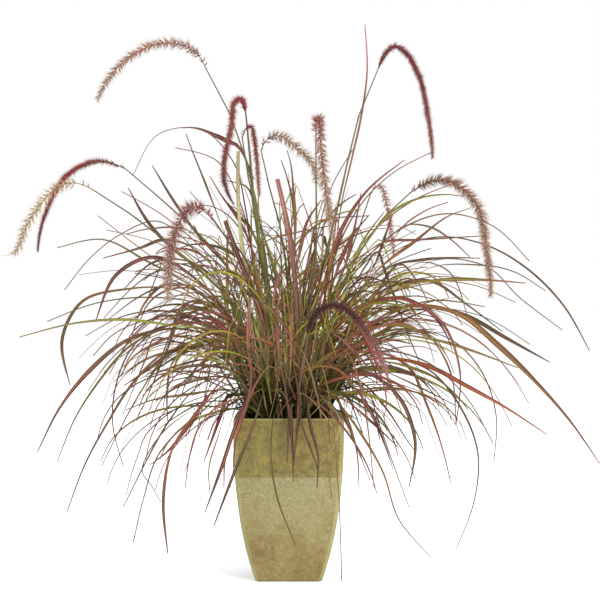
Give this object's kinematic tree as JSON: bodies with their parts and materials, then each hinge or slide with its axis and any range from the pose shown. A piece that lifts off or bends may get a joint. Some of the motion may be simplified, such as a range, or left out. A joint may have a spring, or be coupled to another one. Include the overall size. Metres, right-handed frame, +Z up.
{
  "type": "potted fountain grass clump",
  "caption": "Clump of purple fountain grass with arching blades and nodding bristly flower spikes, growing in a tall square tapered stoneware planter.",
  "frame": {"origin": "centre of the planter's underside, on the surface it stands on", "axes": "+Z up, -Y towards the front that the picture shows, +X to the viewer's right"},
  "size_m": [1.3158, 1.3371, 1.255],
  "materials": {
    "planter": "matt mottled olive-ochre stoneware, darker in a band below the rim",
    "soil": "dark bark and peat potting mix",
    "flower_stem": "slim green to red-brown culm",
    "flower_spike": "rosy tan bristles",
    "leaf": "satin grass blades, green at the heart and burgundy at the tips"
  },
  "bodies": {
    "root": {"pot": "planter", "soil": "soil", "flower_stem_01": "flower_stem", "flower_stem_02": "flower_stem", "flower_stem_03": "flower_stem", "flower_stem_04": "flower_stem", "flower_stem_05": "flower_stem", "flower_stem_06": "flower_stem", "flower_stem_07": "flower_stem", "flower_stem_08": "flower_stem", "flower_stem_09": "flower_stem", "flower_stem_10": "flower_stem", "flower_stem_11": "flower_stem", "flower_stem_12": "flower_stem", "flower_spike_01": "flower_spike", "flower_spike_02": "flower_spike", "flower_spike_03": "flower_spike", "flower_spike_04": "flower_spike", "flower_spike_05": "flower_spike", "flower_spike_06": "flower_spike", "flower_spike_07": "flower_spike", "flower_spike_08": "flower_spike", "flower_spike_09": "flower_spike", "flower_spike_10": "flower_spike", "flower_spike_11": "flower_spike", "flower_spike_12": "flower_spike", "leaf_tuft_01": "leaf", "leaf_tuft_02": "leaf", "leaf_tuft_03": "leaf", "leaf_tuft_04": "leaf", "leaf_tuft_05": "leaf", "leaf_tuft_06": "leaf", "leaf_tuft_07": "leaf", "leaf_tuft_08": "leaf", "leaf_tuft_09": "leaf", "leaf_tuft_10": "leaf", "leaf_tuft_11": "leaf", "leaf_tuft_12": "leaf", "leaf_tuft_13": "leaf", "leaf_tuft_14": "leaf", "leaf_tuft_15": "leaf", "leaf_tuft_16": "leaf", "leaf_tuft_17": "leaf", "leaf_tuft_18": "leaf", "leaf_tuft_19": "leaf", "leaf_tuft_20": "leaf", "leaf_tuft_21": "leaf", "leaf_tuft_22": "leaf", "leaf_tuft_23": "leaf", "leaf_tuft_24": "leaf", "leaf_tuft_25": "leaf", "leaf_tuft_26": "leaf", "leaf_tuft_27": "leaf", "leaf_tuft_28": "leaf", "leaf_tuft_29": "leaf", "leaf_tuft_30": "leaf", "leaf_tuft_31": "leaf", "leaf_tuft_32": "leaf", "leaf_tuft_33": "leaf", "leaf_tuft_34": "leaf"}
  },
  "joints": []
}
